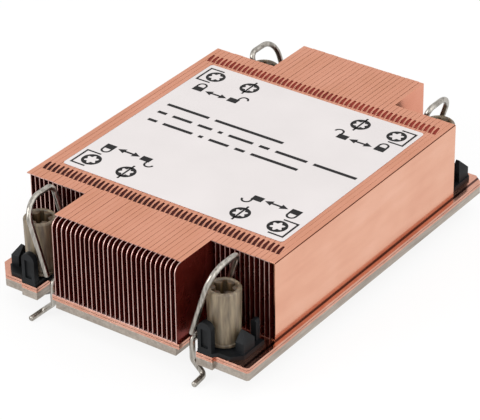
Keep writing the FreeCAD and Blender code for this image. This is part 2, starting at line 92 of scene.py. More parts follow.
def stretched(tree, place, size_mm):
    """Object coordinates scaled so that one noise cell has the given size along X, Y and Z."""
    scale = tuple(1 / (s * MM) for s in size_mm)
    return add(tree, "ShaderNodeMapping", links={"Vector": place}, values={"Scale": scale}).outputs[0]


def set_ramp(node, stops):
    """Puts colours at places on a Color Ramp."""
    ramp = node.color_ramp
    while len(ramp.elements) < len(stops):
        ramp.elements.new(0.5)
    for element, (at, colour) in zip(ramp.elements, stops):
        element.position = at
        element.color = colour
    return node.outputs["Color"]


def rolled_aluminium():
    """Rolled aluminium sheet: satin, warm grey, streaks 0.5 mm wide and some 12 mm long."""
    material, tree, shader, place = start_material("rolled aluminium")
    streaks = add(tree, "ShaderNodeTexNoise", values={"Scale": 1.0, "Detail": 4.0},
                  links={"Vector": stretched(tree, place, (0.5, 12, 0.5))}).outputs["Fac"]
    cloud = add(tree, "ShaderNodeTexNoise", values={"Scale": 1.0, "Detail": 3.0},
                links={"Vector": stretched(tree, place, (7, 7, 2))}).outputs["Fac"]
    both = add(tree, "ShaderNodeMath", {"operation": "ADD"}, {0: streaks, 1: cloud}).outputs[0]
    half = add(tree, "ShaderNodeMath", {"operation": "MULTIPLY"}, {0: both}, {1: 0.5}).outputs[0]
    colour = set_ramp(add(tree, "ShaderNodeValToRGB", links={"Fac": half}),
                      [(0.34, linear("#948A80")), (0.5, linear("#A89E94")), (0.68, linear("#BAB1A6"))])
    tree.links.new(colour, shader.inputs["Base Color"])
    rough = add(tree, "ShaderNodeMapRange", links={"Value": cloud},
                values={"To Min": 0.36, "To Max": 0.56}).outputs[0]
    tree.links.new(rough, shader.inputs["Roughness"])
    bump = add(tree, "ShaderNodeBump", links={"Height": streaks},
               values={"Strength": 0.25, "Distance": 0.03 * MM}).outputs[0]
    tree.links.new(bump, shader.inputs["Normal"])
    shader.inputs["Metallic"].default_value = 1.0
    return material


def finish_piece(shape, name, node, body, materials):
    """Turns a bmesh into a piece that stands for one solid and rides on its body."""
    mesh = bpy.data.meshes.new(name)
    shape.to_mesh(mesh)
    shape.free()
    for material in materials:
        mesh.materials.append(material)
    piece = bpy.data.objects.new(name, mesh)
    bpy.context.scene.collection.objects.link(piece)
    if node:
        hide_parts(node)
    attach(piece, body)
    return piece


def merged_solid(node):
    """A bmesh copy of one solid with its loose triangles joined and its flat faces whole."""
    shape = bmesh.new()
    shape.from_mesh(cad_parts[node].data)
    bmesh.ops.remove_doubles(shape, verts=shape.verts, dist=0.001 * MM)
    bmesh.ops.dissolve_limit(shape, angle_limit=math.radians(1), verts=shape.verts, edges=shape.edges)
    return shape


def ease_edges(piece, width_mm, segments=2):
    """Rounds a rigid piece's sharp edges by a bevel, and shades the round ones smoothly."""
    for face in piece.data.polygons:
        face.use_smooth = True
    piece.data.set_sharp_from_angle(angle=math.radians(35))
    bevel = piece.modifiers.new("eased edges", "BEVEL")
    bevel.width = width_mm * MM
    bevel.segments = segments
    bevel.limit_method = "ANGLE"
    bevel.angle_limit = math.radians(35)
    bevel.harden_normals = True
    bevel.use_clamp_overlap = True
    return piece


ease_edges(finish_piece(merged_solid("base_plate"), "base_sheet", "base_plate", HEATSINK,
                        [rolled_aluminium()]), 0.15)

# ---- Vapour chamber shells -----------------------------------------------------------------------
# Two pressed copper shells soldered rim to rim. The outer faces are bare copper with a soft satin
# from pickling, and the open joint between the rims shows as a thin dark line.
def satin_copper(name, dark, middle, light, grain_mm, rough, relief=0.2):
    """Copper, bare or tarnished by its three tints, with a fine grain and broader clouds."""
    material, tree, shader, place = start_material(name)
    grain = add(tree, "ShaderNodeTexNoise", values={"Scale": 1.0, "Detail": 3.0},
                links={"Vector": stretched(tree, place, grain_mm)}).outputs["Fac"]
    cloud = add(tree, "ShaderNodeTexNoise", values={"Scale": 1.0, "Detail": 2.0},
                links={"Vector": stretched(tree, place, (9, 14, 9))}).outputs["Fac"]
    mix = add(tree, "ShaderNodeMix", links={2: grain, 3: cloud}, values={0: 0.55}).outputs[0]
    colour = set_ramp(add(tree, "ShaderNodeValToRGB", links={"Fac": mix}),
                      [(0.34, linear(dark)), (0.5, linear(middle)), (0.66, linear(light))])
    tree.links.new(colour, shader.inputs["Base Color"])
    roughness = add(tree, "ShaderNodeMapRange", links={"Value": grain},
                    values={"To Min": rough - 0.07, "To Max": rough + 0.07}).outputs[0]
    tree.links.new(roughness, shader.inputs["Roughness"])
    bump = add(tree, "ShaderNodeBump", links={"Height": grain},
               values={"Strength": relief, "Distance": 0.02 * MM}).outputs[0]
    tree.links.new(bump, shader.inputs["Normal"])
    shader.inputs["Metallic"].default_value = 1.0
    return material


# A thin strip of the base's top face beside the end panel's foot is darkened: painted shade in the corner.
STAIN_ACROSS = (37.0, 39.0)    # mm, x of the strip beside the end panel's foot
STAIN_ABOVE = (3.54, 3.59)     # z: only the top face, not the rims
STAIN_STRENGTH = 0.93


def stain_beside_panel(material):
    """Darkens a thin strip of the top face along the end panel's foot: painted shade in the corner."""
    tree = material.node_tree
    shader = tree.nodes["Principled BSDF"]
    place = tree.nodes["Texture Coordinate"].outputs["Object"]
    spot = add(tree, "ShaderNodeSeparateXYZ", links={0: place})
    across = add(tree, "ShaderNodeMapRange", links={"Value": spot.outputs["X"]},
                 values={"From Min": STAIN_ACROSS[0] * MM, "From Max": STAIN_ACROSS[1] * MM}).outputs[0]
    clean = (0, 0, 0, 1)
    stain = (STAIN_STRENGTH, STAIN_STRENGTH, STAIN_STRENGTH, 1)
    strip = set_ramp(add(tree, "ShaderNodeValToRGB", links={"Fac": across}),
                     [(0.1, clean), (0.2, stain), (0.46, stain), (0.56, clean)])
    above = add(tree, "ShaderNodeMapRange", links={"Value": spot.outputs["Z"]},
                values={"From Min": STAIN_ABOVE[0] * MM, "From Max": STAIN_ABOVE[1] * MM}).outputs[0]
    flux = add(tree, "ShaderNodeMath", {"operation": "MULTIPLY"}, {0: strip, 1: above}).outputs[0]
    stained = add(tree, "ShaderNodeMix", {"data_type": "RGBA"},
                  {0: flux, 6: shader.inputs["Base Color"].links[0].from_socket})
    # The colour of the painted shade beside the end panel.
    stained.inputs[7].default_value = linear("#3A120E")
    tree.links.new(stained.outputs[2], shader.inputs["Base Color"])


pickled_copper = satin_copper("pickled copper", "#C48B76", "#D49C87", "#DFAE9B",
                              (0.6, 3.0, 0.6), 0.22, 0.06)
# Paints the shade beside the end panel onto the top copper.
stain_beside_panel(pickled_copper)
for shell in ("lower_shell", "upper_shell"):
    ease_edges(finish_piece(merged_solid(shell), shell + "_copper", shell, HEATSINK,
                            [pickled_copper]), 0.09)

# ---- Fin packs -----------------------------------------------------------------------------------
# Fifty-two fins of 0.22 mm copper strip, each folded into a C and locked to the next by slanted tabs
# seated in slots of the flanges. Sheared edges are pale. The plates between the fins and the front half
# of the outer face are painted dark maroon as shade. The slots and their tabs are dark red copper,
# painted darker in the front row as shade. The fins are soldered to the base, so no two stand quite alike.
FIN_FOOT = 3.6                 # mm, top of the base
FIN_HEIGHT = 21.9
FIN_STRIP = 0.22
FIN_FOLD = 0.11
FIN_PITCH = 1.425
FIN_FIRST = -36.9
FIN_GAP = 0.14                 # between one flange's tip and the next fin
SHORT_HALF = 40.6
LONG_HALF = 55.0
LONG_FLANGE_FRONT = 52.4
LONG_CORNER = 2.3
LONG_OVERLAP = 0.1             # the long fins' plain end runs this far under the flange
LONG_TOP_GAP = 0.03            # and ends this far below the flange's face
SLOT_ROW = 34.9
SLOT_SIZE = (0.9, 3.7, 1)
SLOT_TURN = 12                 # degrees from the fin
SLOT_REACH = 1.95              # from the row, past which nothing is slot
TAB_DEPTH = 0.18               # the locked tab's face below the flange
TAB_SIZE = (0.94, 3.74, 0.06)
TAB_BELOW = 0.08               # faces this far below the flange are tabs
LARGEST_EDGE = 12              # square mm, the largest sheared end of a strip
LEAN = 0.02                    # most that a fin's top leans, slips and sits low
SLIP = 0.08
SINK = 0.025
EDGE_COPPER, PLATE_COPPER, SIDE_COPPER, BACK_SLOT, FRONT_SLOT = range(1, 6)    # 0 is the bare face
random_fins = random.Random(11)


def moved_verts(made):
    """The vertices among an extrusion's new geometry."""
    return [item for item in made["geom"] if isinstance(item, bmesh.types.BMVert)]


def outline_face(shape, corners, plane):
    """A flat face from corner points in a plane, xz or yz, for an extrusion to start from."""
    if plane == "xz":
        verts = [shape.verts.new((a, 0, b)) for a, b in corners]
    else:
        verts = [shape.verts.new((0, a, b)) for a, b in corners]
    return shape.faces.new(verts)


def push(shape, face, offset):
    """Extrudes a face into a closed solid."""
    made = bmesh.ops.extrude_face_region(shape, geom=[face], use_keep_orig=True)
    bmesh.ops.translate(shape, verts=moved_verts(made), vec=offset)


def round_corners(shape, verts, radius, segments):
    """Rounds corners of a flat face."""
    bmesh.ops.bevel(shape, geom=verts, offset=radius, segments=segments, profile=0.5,
                    affect="VERTICES", material=-1)


def folded_fin(y_front, y_back, front_tip):
    """One fin in mm, its plate's left face at x 0 and its foot at z 0."""
    top = FIN_HEIGHT
    strip = FIN_STRIP
    tip = -(FIN_PITCH - strip - FIN_GAP)
    shape = bmesh.new()
    corners = [(tip, top), (tip, top - strip), (0, top - strip), (0, strip), (tip, strip), (tip, 0),
               (strip, 0), (strip, top)]
    face = outline_face(shape, corners, "xz")
    folds = [v for v in face.verts if abs(v.co.x - strip) < 1e-6]
    round_corners(shape, folds, FIN_FOLD, 3)
    face = shape.faces[:][0]
    bmesh.ops.translate(shape, verts=shape.verts, vec=(0, y_front, 0))
    push(shape, face, (0, y_back - y_front, 0))
    if front_tip < y_front:
        seat = y_front + LONG_OVERLAP
        plate_top = top - LONG_TOP_GAP
        plate = outline_face(shape, [(front_tip, 0), (seat, 0), (seat, plate_top),
                                     (front_tip, plate_top)], "yz")
        corner = [v for v in plate.verts if v.co.y < front_tip + 0.01 and v.co.z > 1]
        round_corners(shape, corner, LONG_CORNER, 6)
        plates = [f for f in shape.faces if all(abs(v.co.x) < 1e-6 for v in f.verts)
                  and min(v.co.y for v in f.verts) < front_tip + 0.01]
        push(shape, plates[0], (strip, 0, 0))
        foot = outline_face(shape, [(front_tip, 0), (seat, 0), (seat, strip), (front_tip, strip)], "yz")
        push(shape, foot, (tip, 0, 0))
    bmesh.ops.recalc_face_normals(shape, faces=shape.faces)
    return shape


def slotted(shape):
    """Cuts a fin's two slanted slots in the top flange and seats a tab in each."""
    middle = -(FIN_PITCH - FIN_STRIP) / 2
    turn = Matrix.Rotation(math.radians(SLOT_TURN), 4, "Z")
    cutter = bmesh.new()
    for side in (-1, 1):
        spot = Matrix.Translation((middle, side * SLOT_ROW, FIN_HEIGHT))
        bmesh.ops.create_cube(cutter, size=1, matrix=spot @ turn @ Matrix.Diagonal((*SLOT_SIZE, 1)))
    objects = []
    for part in (shape, cutter):
        mesh = bpy.data.meshes.new("template")
        part.to_mesh(mesh)
        part.free()
        objects.append(bpy.data.objects.new("template", mesh))
        bpy.context.scene.collection.objects.link(objects[-1])
    cut = objects[0].modifiers.new("slots", "BOOLEAN")
    cut.object = objects[1]
    cut.solver = "EXACT"
    cut.use_self = True
    bpy.context.view_layer.update()
    result = bpy.data.meshes.new_from_object(objects[0].evaluated_get(
        bpy.context.evaluated_depsgraph_get()))
    for item in objects:
        bpy.data.objects.remove(item)
    seated = bmesh.new()
    seated.from_mesh(result)
    for side in (-1, 1):
        spot = Matrix.Translation((middle, side * SLOT_ROW, FIN_HEIGHT - TAB_DEPTH))
        bmesh.ops.create_cube(seated, size=1, matrix=spot @ turn @ Matrix.Diagonal((*TAB_SIZE, 1)))
    seated.to_mesh(result)
    seated.free()
    return result


def fin_pack(template, first, last):
    """Copies of one fin side by side, each leaning by a few hundredths of a millimetre."""
    pack = bmesh.new()
    for index in range(first, last + 1):
        before = len(pack.verts)
        pack.from_mesh(plain_fin if index == 0 else template)
        pack.verts.ensure_lookup_table()
        lean = random_fins.uniform(-LEAN, LEAN)
        slip = random_fins.uniform(-SLIP, SLIP)
        rise = random_fins.uniform(-SINK, 0.0)
        for vert in pack.verts[before:]:
            share = vert.co.z / FIN_HEIGHT
            vert.co.x += FIN_FIRST + FIN_PITCH * index + lean * share
            vert.co.y += slip * share
            vert.co.z += FIN_FOOT + rise * share
    outer_x = FIN_FIRST + FIN_PITCH * last + 0.1
    outer = [f for f in pack.faces if f.normal.x > 0.8 and f.calc_center_median().x > outer_x]
    edges = {e for f in outer for e in f.edges}
    # Splits the outer face at y 0, so that its front half can take the painted shade.
    bmesh.ops.bisect_plane(pack, geom=outer + list(edges), plane_co=(0, 0, 0), plane_no=(0, 1, 0))
    flange_low = FIN_FOOT + FIN_HEIGHT - 2 * FIN_STRIP
    for face in pack.faces:
        middle = face.calc_center_median()
        on_corner = middle.y < -LONG_FLANGE_FRONT and abs(face.normal.x) < 0.1
        in_slot = abs(abs(middle.y) - SLOT_ROW) < SLOT_REACH and middle.z > flange_low
        on_tab = middle.z < FIN_FOOT + FIN_HEIGHT - TAB_BELOW and face.normal.z > 0.5
        # The front row of slots takes a darker copy of the slot copper: painted shade.
        if in_slot and (abs(face.normal.z) < 0.5 or on_tab):
            face.material_index = BACK_SLOT if middle.y > 0 else FRONT_SLOT
        elif on_corner or abs(face.normal.y) > 0.8 and face.calc_area() < LARGEST_EDGE:
            face.material_index = EDGE_COPPER
        # The outer face's front half takes the dark plate copper: painted shade.
        elif middle.x > outer_x and face.normal.x > 0.8:
            face.material_index = SIDE_COPPER if middle.y > 0 else PLATE_COPPER
        elif middle.x < FIN_FIRST + 0.05 and face.normal.x < -0.8:
            face.material_index = SIDE_COPPER
        # The plates below the flange and the undersides take the dark maroon copper: painted shade between
        # the fins.
        elif middle.z < flange_low or face.normal.z < -0.5:
            face.material_index = PLATE_COPPER
    bmesh.ops.scale(pack, vec=(MM, MM, MM), verts=pack.verts)
    return pack


fin_copper = satin_copper("fin copper strip", "#CF9073", "#D4957A", "#D99B81",
                          (0.5, 20.0, 1.2), 0.4, 0.1)
sheared_copper = satin_copper("sheared copper edge", "#C79E96", "#D4B0A8", "#DEC0B9",
                              (0.5, 0.5, 1.5), 0.5)
# Dark maroon copper for the fin plates: painted shade between the fins.
plate_copper = satin_copper("fin plate copper, painted shade", "#76211A", "#832A21", "#90352A",
                            (0.8, 6.0, 6.0), 0.27, 0.03)
plate_copper.node_tree.nodes["Principled BSDF"].inputs["Metallic"].default_value = 0.82
tongue_copper = satin_copper("long fin side copper", "#D08468", "#D98F74", "#E09C82",
                             (3.0, 40.0, 4.0), 0.18, 0.03)
slot_copper = satin_copper("cut slot copper", "#7E261C", "#8C2E22", "#9A392A",
                           (0.5, 0.5, 0.5), 0.5)
# A darker copy of the slot copper for the front row of slots: painted shade.
deep_copper = satin_copper("slot copper, painted shade", "#35100C", "#43140F", "#561D16",
                           (0.5, 0.5, 0.5), 0.5)
plain_fin = bpy.data.meshes.new("template")
folded_fin(-SHORT_HALF, SHORT_HALF, -SHORT_HALF).to_mesh(plain_fin)
short_fin = slotted(folded_fin(-SHORT_HALF, SHORT_HALF, -SHORT_HALF))
long_fin = slotted(folded_fin(-LONG_FLANGE_FRONT, LONG_HALF, -LONG_HALF))
for node, template, first, last in (("fins_left", short_fin, 0, 12),
                                    ("fins_centre", long_fin, 13, 39),
                                    ("fins_right", short_fin, 40, 51)):
    finish_piece(fin_pack(template, first, last), node + "_strips", node, HEATSINK,
                 [fin_copper, sheared_copper, plate_copper, tongue_copper, slot_copper, deep_copper])

# ---- End panel -----------------------------------------------------------------------------------
# The last fin is a plain sheet that closes the pack on the right. Its face is broad bare copper, with
# faint rolling lines along the pack, and a thin step along the top fold painted dark as shade.
PANEL_OUTER_X = 37.3           # mm, outboard of this lies the panel's outer face and its fold
FOLD_STEP = (25.2, 25.48)      # z of the step under the top fold
PANEL_TOP = 25.3
panel_copper = satin_copper("outer sheet copper", "#DEA287", "#E4AB90", "#E9B39A",
                            (3.0, 40.0, 4.0), 0.22, 0.04)
# Dark copper for the step under the top fold: painted shade and dark reflection of the fold.
fold_tarnish = satin_copper("fold, painted shade", "#55291D", "#673526", "#794232",
                            (1.0, 5.0, 1.0), 0.45)
panel_shape = merged_solid("end_panel")
for face in panel_shape.faces:
    middle = face.calc_center_median() / MM
    on_step = FOLD_STEP[0] < middle.z < FOLD_STEP[1]
    # The step's faces under the top fold take the painted shade.
    if middle.x > PANEL_OUTER_X and on_step and abs(face.normal.y) < 0.5:
        face.material_index = 1
    elif face.normal.z > 0.7 and middle.z > PANEL_TOP:
        face.material_index = 2
ease_edges(finish_piece(panel_shape, "end_panel_sheet", "end_panel", HEATSINK,
                        [panel_copper, fold_tarnish, fin_copper]), 0.05)

# ---- Label ---------------------------------------------------------------------------------------
# A white polyester film, 0.12 mm thick, glued over the flanges. Its print is plain black ink: drive
# symbols, locks and arrows that show how the wires and nuts are set, and plain bars for the wording.
def label_film():
    """Printed polyester film: off-white, semi-gloss, faintly rippled by the flanges below."""
    material, tree, shader, place = start_material("polyester label film")
    cloud = add(tree, "ShaderNodeTexNoise", values={"Scale": 1.0, "Detail": 2.0},
                links={"Vector": stretched(tree, place, (16, 16, 16))}).outputs["Fac"]
    colour = set_ramp(add(tree, "ShaderNodeValToRGB", links={"Fac": cloud}),
                      [(0.3, linear("#D0CAC9")), (0.7, linear("#D5CFCE"))])
    tree.links.new(colour, shader.inputs["Base Color"])
    ripple = add(tree, "ShaderNodeTexWave", {"bands_direction": "X"},
                 values={"Scale": 1 / (FIN_PITCH * 3.2), "Distortion": 0.4},
                 links={"Vector": stretched(tree, place, (1, 1, 1))}).outputs["Fac"]
    bump = add(tree, "ShaderNodeBump", links={"Height": ripple},
               values={"Strength": 0.15, "Distance": 0.01 * MM}).outputs[0]
    tree.links.new(bump, shader.inputs["Normal"])
    shader.inputs["Roughness"].default_value = 0.38
    shader.inputs["IOR"].default_value = 1.5
    return material


label_piece = finish_piece(merged_solid("label"), "label_film", "label", HEATSINK,
                           [label_film()])
ease_edges(label_piece, 0.04)
INK_TOP = 25.62                # mm, the film's upper face
INK_THICK = 0.02
INK_LINE = 0.55
DISC_RADIUS = 2.65
DISC_STEPS = 60
STAR_RADIUS = 1.58             # of the blank star in it, and how far its lobes swing
STAR_SWING = 0.36
BRACKET_HALF = 3.4             # the drive symbol's bracket
BRACKET_NEAR = 0.45
BRACKET_FAR = 3.8
SLASH_HALF = 3.6
LOCK_HALF = (1.5, 1.05)        # a padlock's body
SHACKLE_RADIUS = 1.2
SHACKLE_HEIGHT = 1.75          # of its bow's middle above the body's, and of its foot
SHACKLE_FOOT = 1.0
SHACKLE_SWING = 2.2
ARROW_HALF = (1.4, 0.33)       # an arrow's shaft, and its heads' tip, root and half width
ARROW_TIP = 3.45
ARROW_ROOT = 1.3
ARROW_WING = 1.1
BAR_HALF = 0.55                # the bars that stand for wording
BAR_SPACE = 2.0


def line(shape, points):
    """A drawn line: a low upright ribbon, which a Solidify modifier makes as wide as the pen."""
    verts = [shape.verts.new((x, y, INK_TOP)) for x, y in points]
    edges = [shape.edges.new(pair) for pair in zip(verts, verts[1:])]
    made = bmesh.ops.extrude_edge_only(shape, edges=edges)
    bmesh.ops.translate(shape, verts=moved_verts(made), vec=(0, 0, INK_THICK))


def arc(x, y, radius, start, end, steps):
    """Points on part of a circle, angles in degrees."""
    turns = [math.radians(start + (end - start) * k / steps) for k in range(steps + 1)]
    return [(x + radius * math.cos(a), y + radius * math.sin(a)) for a in turns]


def patch(shape, points):
    """A filled ink shape."""
    face = shape.faces.new([shape.verts.new((x, y, INK_TOP)) for x, y in points])
    push(shape, face, (0, 0, INK_THICK))


def star_disc(fills, x, y):
    """A black disc with a six-lobe star left blank in it."""
    outer = []
    inner = []
    for k in range(DISC_STEPS):
        a = 2 * math.pi * k / DISC_STEPS
        lobe = STAR_RADIUS - STAR_SWING * math.cos(6 * a)
        for rim, radius in ((outer, DISC_RADIUS), (inner, lobe)):
            rim.append(fills.verts.new((x + radius * math.cos(a), y + radius * math.sin(a), INK_TOP)))
    faces = [fills.faces.new((outer[k - 1], outer[k], inner[k], inner[k - 1]))
             for k in range(DISC_STEPS)]
    made = bmesh.ops.extrude_face_region(fills, geom=faces, use_keep_orig=True)
    bmesh.ops.translate(fills, verts=moved_verts(made), vec=(0, 0, INK_THICK))


def drive_symbol(lines, fills, x, y, side_x):
    """Star disc with a three-sided bracket on its outboard side."""
    star_disc(fills, x, y)
    near = x - side_x * BRACKET_NEAR
    far = x + side_x * BRACKET_FAR
    line(lines, [(near, y - BRACKET_HALF), (far, y - BRACKET_HALF),
                 (far, y + BRACKET_HALF), (near, y + BRACKET_HALF)])


def slashed_symbol(lines, fills, x, y):
    """Star disc with a straight bar through it."""
    star_disc(fills, x, y)
    line(lines, [(x, y - SLASH_HALF), (x, y + SLASH_HALF)])


def lock_symbol(lines, fills, x, y, up, swing):
    """A padlock; its shackle is shut at swing 0 and swung to one side at swing -1 or 1."""
    half_x, half_y = LOCK_HALF
    patch(fills, [(x - half_x, y - up * half_y), (x + half_x, y - up * half_y),
                  (x + half_x, y + up * half_y), (x - half_x, y + up * half_y)][::up])
    middle = x + swing * SHACKLE_SWING
    foot = y + up * SHACKLE_FOOT
    bow = [(a, y + up * (SHACKLE_HEIGHT + b))
           for a, b in arc(middle, 0.0, SHACKLE_RADIUS, 0, 180, 10)]
    if swing > 0:
        bow.reverse()
    if not swing:
        bow.append((bow[-1][0], foot))
    line(lines, [(bow[0][0], foot)] + bow)


def arrow_symbol(fills, x, y):
    """A two-headed arrow."""
    half_x, half_y = ARROW_HALF
    patch(fills, [(x - half_x, y - half_y), (x + half_x, y - half_y),
                  (x + half_x, y + half_y), (x - half_x, y + half_y)])
    for way in (-1, 1):
        tip = x + way * ARROW_TIP
        root = x + way * ARROW_ROOT
        patch(fills, [(tip, y), (root, y + way * ARROW_WING), (root, y - way * ARROW_WING)])


def printing_ink():
    """Screen ink: near black, slightly glossy, a little uneven in density."""
    material, tree, shader, place = start_material("black screen ink")
    speck = add(tree, "ShaderNodeTexNoise", values={"Scale": 1.0, "Detail": 3.0},
                links={"Vector": stretched(tree, place, (1.2, 1.2, 1.2))}).outputs["Fac"]
    colour = set_ramp(add(tree, "ShaderNodeValToRGB", links={"Fac": speck}),
                      [(0.3, linear("#070606")), (0.75, linear("#121011"))])
    tree.links.new(colour, shader.inputs["Base Color"])
    shader.inputs["Roughness"].default_value = 0.55
    shader.inputs["Specular IOR Level"].default_value = 0.2
    return material


ink = printing_ink()
ink_lines = bmesh.new()
ink_fills = bmesh.new()
for side_x in (-1, 1):
    for side_y in (-1, 1):
        drive_symbol(ink_lines, ink_fills, side_x * 28.5, side_y * 26.6, side_x)
        slashed_symbol(ink_lines, ink_fills, side_x * 17.5, side_y * 26.6)
        lock_symbol(ink_lines, ink_fills, side_x * 28.5, side_y * 18.8, side_y, 0)
        lock_symbol(ink_lines, ink_fills, side_x * 17.2, side_y * 18.7, side_y, -side_x)
        arrow_symbol(ink_fills, side_x * 22.7, side_y * 18.6)
for x, y, spans in ((-30.0, 7.4, (13.3, 21.3)),
                    (-29.8, 2.9, (2.8, 6.1, 4.4, 1.3, 7.6, 3.0, 9.6, 12.8)),
                    (-29.5, -1.7, (2.8, 9.3, 1.3, 6.1, 3.0, 14.2))):
    for span in spans:
        patch(ink_fills, [(x, y - BAR_HALF), (x + span, y - BAR_HALF),
                          (x + span, y + BAR_HALF), (x, y + BAR_HALF)])
        x += span + BAR_SPACE
for drawn, name in ((ink_lines, "ink_lines"), (ink_fills, "ink_fills")):
    bmesh.ops.recalc_face_normals(drawn, faces=drawn.faces)
    bmesh.ops.scale(drawn, vec=(MM, MM, MM), verts=drawn.verts)
    printed = finish_piece(drawn, name, None, HEATSINK, [ink])
    if drawn is ink_lines:
        pen = printed.modifiers.new("pen width", "SOLIDIFY")
        pen.thickness = INK_LINE * MM
        pen.offset = 0.0
        pen.use_even_offset = True

# ---- Nuts ----------------------------------------------------------------------------------------
# Tall nuts moulded in tan PEEK, with a collar at the foot and a six-lobe drive in the top. The moulded
# skin is satin and a little mottled, and painted darker towards the foot and inside the drive as shade.
CORNERS = {"front_right": (1, -1), "front_left": (-1, -1), "back_right": (1, 1), "back_left": (-1, 1)}
NUT_X = 28.0                   # mm, a nut's axis from the middle of the part
NUT_Y = 48.0
# The barrel's darkening towards the foot and the darker drive are painted shade.
NUT_SHADE = (5, 17)            # z over which the barrel gets its full tint
DRIVE_TINT = (3.05, 3.5)       # radii over which the drive's tint fades


def tan_peek():
    """Moulded PEEK: tan, satin, slightly waxy, with flow marks up the barrel, and shade painted towards the
    foot and in the drive.
    """
    material, tree, shader, place = start_material("tan PEEK")
    flow = add(tree, "ShaderNodeTexNoise", values={"Scale": 1.0, "Detail": 4.0},
               links={"Vector": stretched(tree, place, (0.9, 0.9, 8))}).outputs["Fac"]
    colour = set_ramp(add(tree, "ShaderNodeValToRGB", links={"Fac": flow}),
                      [(0.32, linear("#514434")), (0.5, linear("#6C5E4A")), (0.66, linear("#877860"))])
    height = add(tree, "ShaderNodeSeparateXYZ", links={0: place}).outputs["Z"]
    # Darker towards the foot: painted shade.
    low = add(tree, "ShaderNodeMapRange", links={"Value": height},
              values={"From Min": NUT_SHADE[0] * MM, "From Max": NUT_SHADE[1] * MM,
                      "To Min": 0.72, "To Max": 1.0}).outputs[0]
    shade = add(tree, "ShaderNodeMix", {"data_type": "RGBA", "blend_type": "MULTIPLY"},
                {6: colour}, {0: 1.0})
    grey = add(tree, "ShaderNodeCombineColor", links={0: low, 1: low, 2: low}).outputs[0]
    tree.links.new(grey, shade.inputs[7])
    apart = add(tree, "ShaderNodeVectorMath", {"operation": "ABSOLUTE"}, {0: place}).outputs[0]
    inward = add(tree, "ShaderNodeVectorMath", {"operation": "SUBTRACT"}, {0: apart},
                 {1: (NUT_X * MM, NUT_Y * MM, 0)}).outputs[0]
    flat = add(tree, "ShaderNodeVectorMath", {"operation": "MULTIPLY"}, {0: inward},
               {1: (1, 1, 0)}).outputs[0]
    reach = add(tree, "ShaderNodeVectorMath", {"operation": "LENGTH"}, {0: flat}).outputs["Value"]
    # Darker inside the drive recess: painted shade.
    worn = add(tree, "ShaderNodeMapRange", links={"Value": reach},
               values={"From Min": DRIVE_TINT[0] * MM, "From Max": DRIVE_TINT[1] * MM,
                       "To Min": 1.0, "To Max": 0.0}).outputs[0]
    drive = add(tree, "ShaderNodeMix", {"data_type": "RGBA", "blend_type": "MULTIPLY"},
                {0: worn, 6: shade.outputs[2]})
    # The colour of the drive's painted shade.
    drive.inputs[7].default_value = linear("#A08A66")
    tree.links.new(drive.outputs[2], shader.inputs["Base Color"])
    rough = add(tree, "ShaderNodeMapRange", links={"Value": flow},
                values={"To Min": 0.38, "To Max": 0.6}).outputs[0]
    tree.links.new(rough, shader.inputs["Roughness"])
    grit = add(tree, "ShaderNodeTexNoise", values={"Scale": 1.0, "Detail": 3.0},
               links={"Vector": stretched(tree, place, (0.3, 0.3, 0.3))}).outputs["Fac"]
    bump = add(tree, "ShaderNodeBump", links={"Height": grit},
               values={"Strength": 0.25, "Distance": 0.03 * MM}).outputs[0]
    tree.links.new(bump, shader.inputs["Normal"])
    shader.inputs["IOR"].default_value = 1.6
    shader.inputs["Subsurface Weight"].default_value = 0.06
    shader.inputs["Subsurface Scale"].default_value = 1.5 * MM
    return material


DRIVE_FLOOR = 16.0             # mm, below the drive recess
DRIVE_ROOT = 1.98              # radii of the recess as cut
DRIVE_TIP = 2.75
DRIVE_RIM = 3.45               # widest the worn recess may grow
DRIVE_WEAR = 0.45              # added at the tips
peek = tan_peek()
for corner, (side_x, side_y) in CORNERS.items():
    barrel = merged_solid("nut_" + corner)
    for vert in barrel.verts:
        out = Vector((vert.co.x / MM - side_x * NUT_X, vert.co.y / MM - side_y * NUT_Y, 0))
        if vert.co.z > DRIVE_FLOOR * MM and DRIVE_ROOT < out.length < DRIVE_RIM:
            wear = DRIVE_WEAR * (out.length - DRIVE_ROOT) / (DRIVE_TIP - DRIVE_ROOT)
            vert.co += out.normalized() * (min(out.length + wear, DRIVE_RIM) - out.length) * MM
    ease_edges(finish_piece(barrel, "nut_barrel_" + corner, "nut_" + corner,
                            "nut_" + corner + "_body", [peek]), 0.06)

# ---- Retaining rings -----------------------------------------------------------------------------
# Open rings stamped from spring steel. Each is snapped into the groove of a nut's neck, just below the
# base, so that the nut stays in the base and still turns.
def spring_steel():
    """Stamped spring steel: dark grey, oiled, with a fine tumbled grain."""
    material, tree, shader, place = start_material("tumbled spring steel")
    grain = add(tree, "ShaderNodeTexNoise", values={"Scale": 1.0, "Detail": 4.0},
                links={"Vector": stretched(tree, place, (0.4, 0.4, 0.4))}).outputs["Fac"]
    colour = set_ramp(add(tree, "ShaderNodeValToRGB", links={"Fac": grain}),
                      [(0.3, linear("#6E6C6A")), (0.7, linear("#96938F"))])
    tree.links.new(colour, shader.inputs["Base Color"])
    bump = add(tree, "ShaderNodeBump", links={"Height": grain},
               values={"Strength": 0.2, "Distance": 0.02 * MM}).outputs[0]
    tree.links.new(bump, shader.inputs["Normal"])
    shader.inputs["Metallic"].default_value = 1.0
    shader.inputs["Roughness"].default_value = 0.4
    return material


ring_finish = spring_steel()
for corner in CORNERS:
    ease_edges(finish_piece(merged_solid("ring_" + corner), "snap_ring_" + corner, "ring_" + corner,
                            "nut_" + corner + "_body", [ring_finish]), 0.1)

